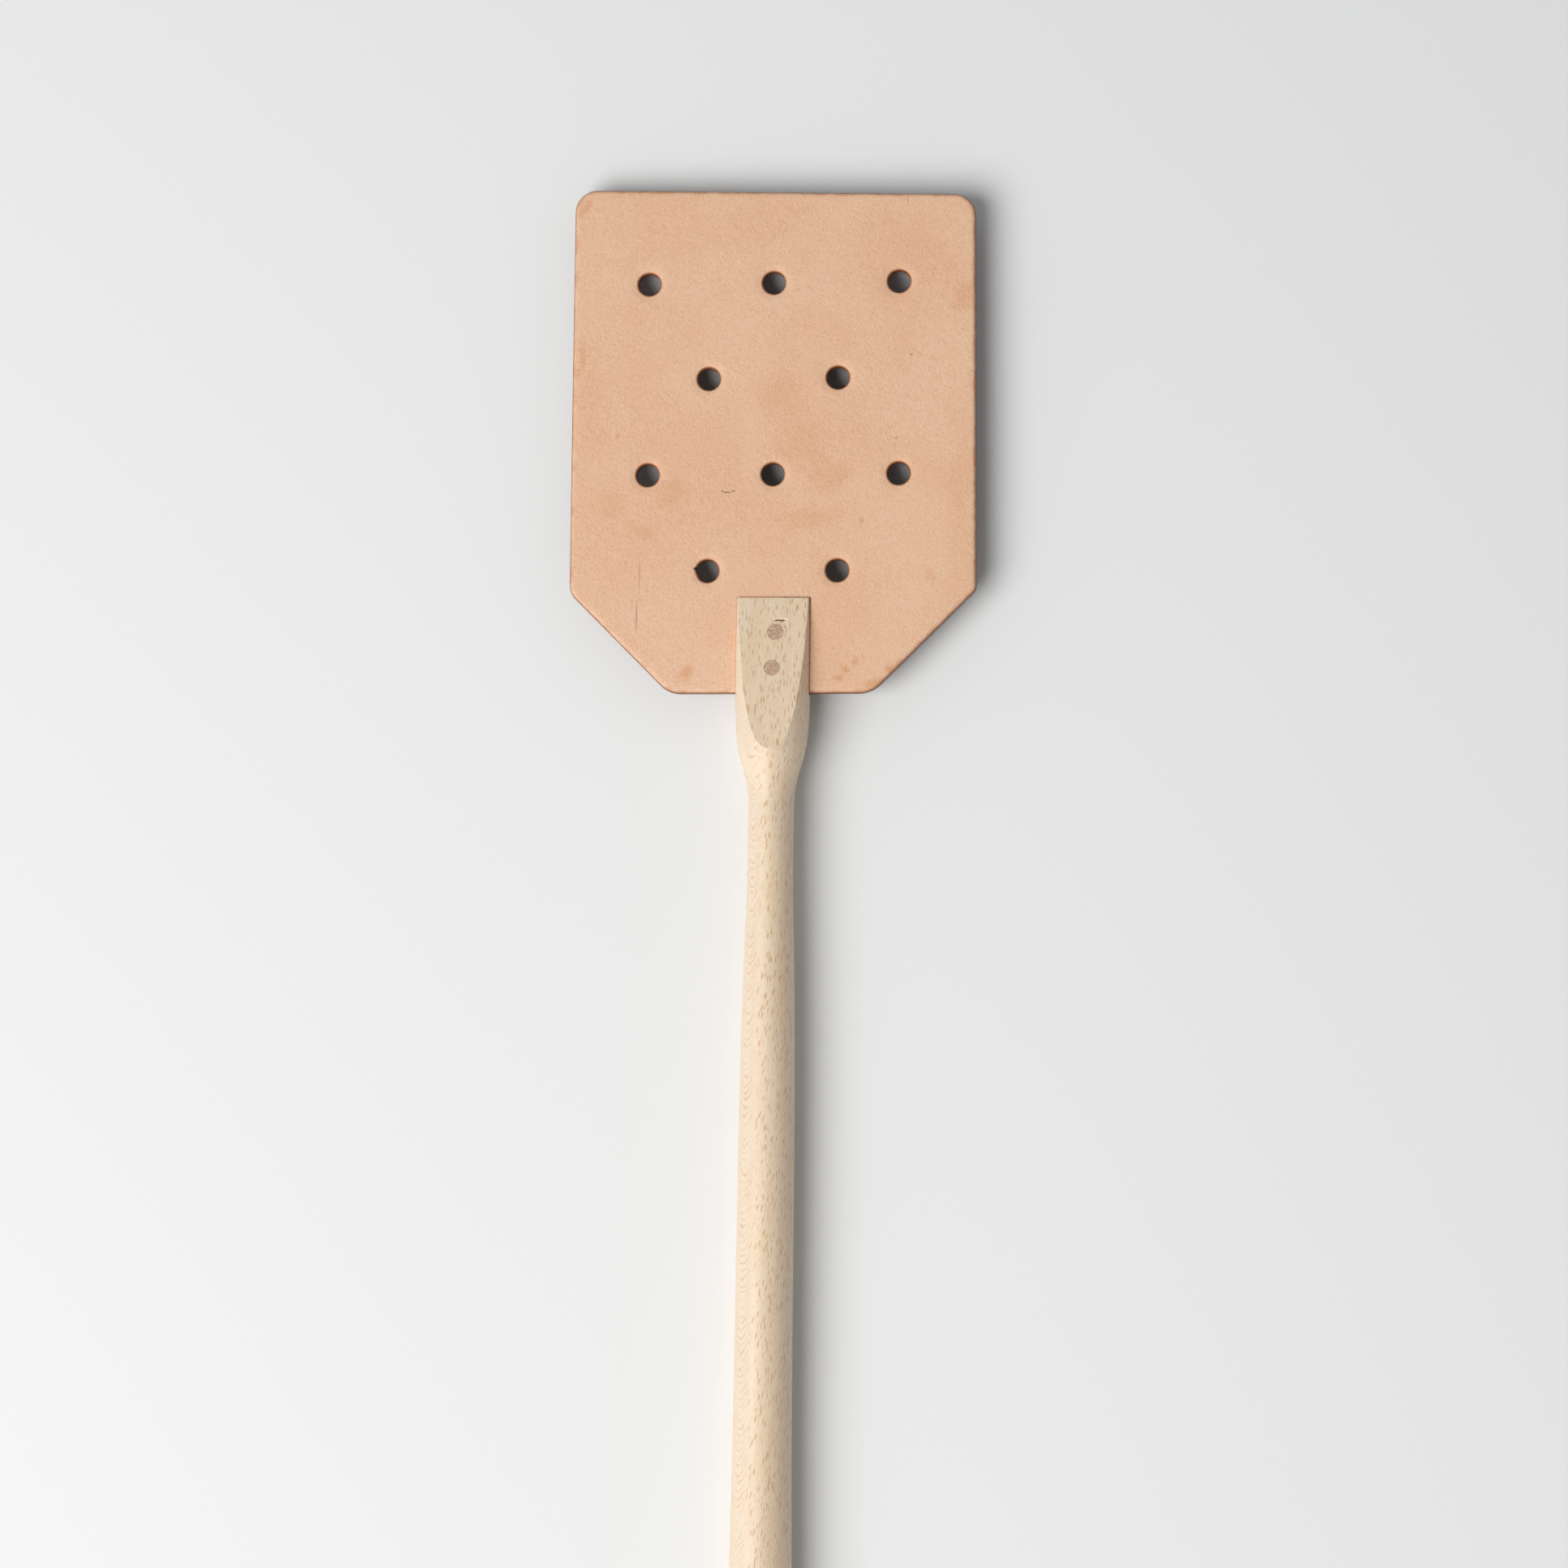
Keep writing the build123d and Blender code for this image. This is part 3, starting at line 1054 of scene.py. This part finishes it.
# Rays: spacing (across, along, inwards) in mm, half-size in cells, share of cells that hold one
LONG_RAYS = ((0.36, 3.2, 4.2), 0.35, 0.75)
SHORT_RAYS = ((0.26, 1.9, 2.6), 0.36, 0.8)


def wood_axes(r, place, across, along, inwards):
    """The place in the wood's own axes, each scaled to that many cells to a mm."""
    return r.axes(place, TANGENTIAL * across, ALONG * along, RADIAL * inwards)


def ray_flecks(r, place, cell, size, share):
    """Medullary rays as thin upright discs: dashes where the turning cuts across them, and silky
    faces where it runs along them."""
    across, along, inwards = cell
    found = r.cells(wood_axes(r, place, 1 / across, 1 / along, 1 / inwards), 1.0)
    disc = r.ramp(found["Distance"], size, size * 0.6)
    chosen = r.math("LESS_THAN", r.split(found["Color"])[0], share)
    return r.times(disc, chosen)


def growth_arcs(r):
    """Thin layers of rays, which turning cuts into nested arcs where they lie flat on."""
    layers = r.vector("DOT_PRODUCT", r.place, tuple(TANGENTIAL / RAY_SPACING))
    layers = r.math("ADD", layers, r.times(r.noise(r.place, 0.35, 2), 1.6))
    arc = r.ramp(r.math("PINGPONG", layers, 0.5), 0.3, 0.5)
    return r.times(arc, r.ramp(r.noise(r.place, 0.3, 3), 0.38, 0.58, 0.25, 1.0))


def beech_material():
    """Pale beech: fine straight fibre, short dark ray dashes, arcs where rays lie flat on, and a
    painted sheen on the side that faces the window.
    """
    r = Recipe("turned_beech")
    stretched = r.vector("MULTIPLY", r.place, (0.09, 0.012, 0.09))
    place = r.vector("ADD", r.place, r.wander(stretched, 1.0, 2.0, 2.0))
    fibre = r.noise(wood_axes(r, place, 4.2, 0.3, 4.2), 1.0, 3, 0.65)
    broad = r.noise(wood_axes(r, place, 0.4, 0.025, 0.4), 1.0, 3, 0.55)
    colour = r.mix(r.ramp(broad, 0.35, 0.68), BEECH_PALE, BEECH)
    colour = r.mix(r.ramp(fibre, 0.45, 0.75, 0, 0.4), colour, BEECH_WARM)

    facing = r.node("ShaderNodeNewGeometry").outputs["Normal"]
    flat_on = r.math("ABSOLUTE", r.vector("DOT_PRODUCT", facing, tuple(TANGENTIAL)))
    face_on = r.ramp(flat_on, 0.88, 0.97)
    # Painted sheen: paler where the surface lies along TANGENTIAL, facing up towards the window on
    # the left
    colour = r.mix(r.ramp(flat_on, 0.8, 0.97, 0, 0.6), colour, BEECH_PAINTED_SHEEN)
    colour = r.mix(r.times(r.times(growth_arcs(r), face_on), 0.6), colour, BEECH_SILK)

    patchy = r.ramp(r.noise(place, 0.12, 2), 0.38, 0.6, 0.75, 1.0)
    end_on = r.times(patchy, r.ramp(flat_on, 0.8, 0.98, 1.0, 0.2))
    ray_colour = r.mix(face_on, BEECH_RAY, BEECH_SILK)
    long_rays = ray_flecks(r, place, *LONG_RAYS)
    shifted = r.vector("ADD", place, (31.0, 17.0, 9.0))
    short_rays = ray_flecks(r, shifted, *SHORT_RAYS)
    colour = r.mix(r.times(long_rays, r.times(end_on, 0.6)), colour, ray_colour)
    colour = r.mix(r.times(short_rays, r.times(end_on, 0.3)), colour, ray_colour)
    colour = r.mix(r.ramp(r.attribute("torn"), 0.35, 0.9), colour, BEECH_TORN)

    normal = r.relief(fibre, 0.05)
    normal = r.relief(r.times(long_rays, -1.0), 0.03, normal)
    roughness = r.ramp(fibre, 0.3, 0.7, 0.42, 0.54)
    return r.finish(colour, roughness, normal, 0.6, sheen=0.2)


DOWEL_PALE = rgb(214, 184, 158)
DOWEL_BROWN = rgb(182, 146, 120)
DOWEL_PORE = rgb(142, 104, 82)


def dowel_material():
    """End grain of a hardwood dowel: a close mottle of open pores, browner than the handle."""
    r = Recipe("dowel_end_grain")
    mottle = r.noise(r.place, 1.6, 3, 0.65)
    open_pore = r.ramp(r.cells(r.place, 4.2)["Distance"], 0.42, 0.18)
    colour = r.mix(r.ramp(mottle, 0.35, 0.65), DOWEL_PALE, DOWEL_BROWN)
    colour = r.mix(r.times(open_pore, 0.5), colour, DOWEL_PORE)
    normal = r.relief(r.times(open_pore, -1.0), 0.05)
    normal = r.relief(mottle, 0.06, normal)
    return r.finish(colour, r.ramp(mottle, 0.3, 0.7, 0.6, 0.7), normal, 0.3)


FLOOR = rgb(232, 233, 233)


def floor_material():
    """A plain pale tabletop."""
    r = Recipe("pale_floor")
    r.shader.inputs["Base Color"].default_value = FLOOR
    r.shader.inputs["Roughness"].default_value = 0.6
    r.shader.inputs["Specular IOR Level"].default_value = 0.2
    return r.material


# ---------------------------------------------------------------- stage

CAMERA_DISTANCE = 0.95
CAMERA_LEAN = math.radians(4.5)  # towards +X
CAMERA_PITCH = math.radians(4.5)  # towards the butt
CAMERA_ROLL = math.radians(0.81)
FRAME_WIDTH = 0.3864
VIEW_CENTRE = Vector((3.1, TIP_Y - 46.0, AXIS_Z)) * MM
SENSOR = 36.0

WINDOW_PLACE = Vector((-1.08, -0.74, 1.72))
WINDOW_TARGET = Vector((0, 0.06, 0))
WINDOW_WIDTH = 1.9
WINDOW_POWER = 48.5
WINDOW_COLOUR = (1.0, 0.995, 0.985)
SKY = (0.98, 0.99, 1.0, 1)
FLOOR_HALF_WIDTH = 4.0


def make_camera():
    back = Vector((math.sin(CAMERA_LEAN), 0, math.cos(CAMERA_LEAN))) * math.cos(CAMERA_PITCH)
    back.y = -math.sin(CAMERA_PITCH)
    across = Vector((0, 1, 0)).cross(back).normalized()
    up = back.cross(across)
    turn = Matrix((across, up, back)).transposed().to_4x4()
    roll = Matrix.Rotation(CAMERA_ROLL, 4, "Z")
    data = bpy.data.cameras.new("camera")
    data.sensor_width = SENSOR
    data.lens = SENSOR * CAMERA_DISTANCE / FRAME_WIDTH
    camera = add_object("camera", data)
    camera.matrix_world = Matrix.Translation(VIEW_CENTRE + back * CAMERA_DISTANCE) @ turn @ roll
    bpy.context.scene.camera = camera


def make_window():
    """One large soft light, from the left and above the butt."""
    data = bpy.data.lights.new("window", "AREA")
    data.shape = "DISK"
    data.size = WINDOW_WIDTH
    data.energy = WINDOW_POWER
    data.color = WINDOW_COLOUR
    light = add_object("window", data)
    light.location = WINDOW_PLACE
    light.rotation_mode = "QUATERNION"
    light.rotation_quaternion = (WINDOW_TARGET - WINDOW_PLACE).to_track_quat("-Z", "Y")


def studio_world():
    """Soft light from all round: brighter on the window's side, and dim from overhead, where a
    camera and its stand would be."""
    world = bpy.data.worlds.new("studio")
    world.use_nodes = True
    sky = Nodes(world.node_tree)
    direction = sky.node("ShaderNodeTexCoord").outputs["Generated"]
    x, _, z = sky.split(direction)
    overhead = sky.ramp(z, 0.5, 1.0, 0.52, 0.12, smooth=False)
    aside = sky.ramp(x, -1.0, 1.0, 1.1, 0.7, smooth=False)
    background = world.node_tree.nodes["Background"].inputs
    sky.feed(background["Strength"], sky.times(overhead, aside))
    sky.feed(background["Color"], SKY)
    return world


def make_stage():
    half = FLOOR_HALF_WIDTH
    mesh = bpy.data.meshes.new("floor")
    corners = [(-half, -half, 0), (half, -half, 0), (half, half, 0), (-half, half, 0)]
    mesh.from_pydata(corners, [], [(0, 1, 2, 3)])
    mesh.materials.append(floor_material())
    add_object("floor", mesh)
    make_window()
    bpy.context.scene.world = studio_world()
    bpy.context.scene.view_settings.view_transform = "Standard"


make_camera()
make_stage()
make_flap().data.materials.append(leather_material())
make_handle().data.materials.append(beech_material())
end_grain = dowel_material()
for number, dowel_node in enumerate(DOWELS):
    make_dowel(dowel_node, DOWEL_SEED + number).data.materials.append(end_grain)
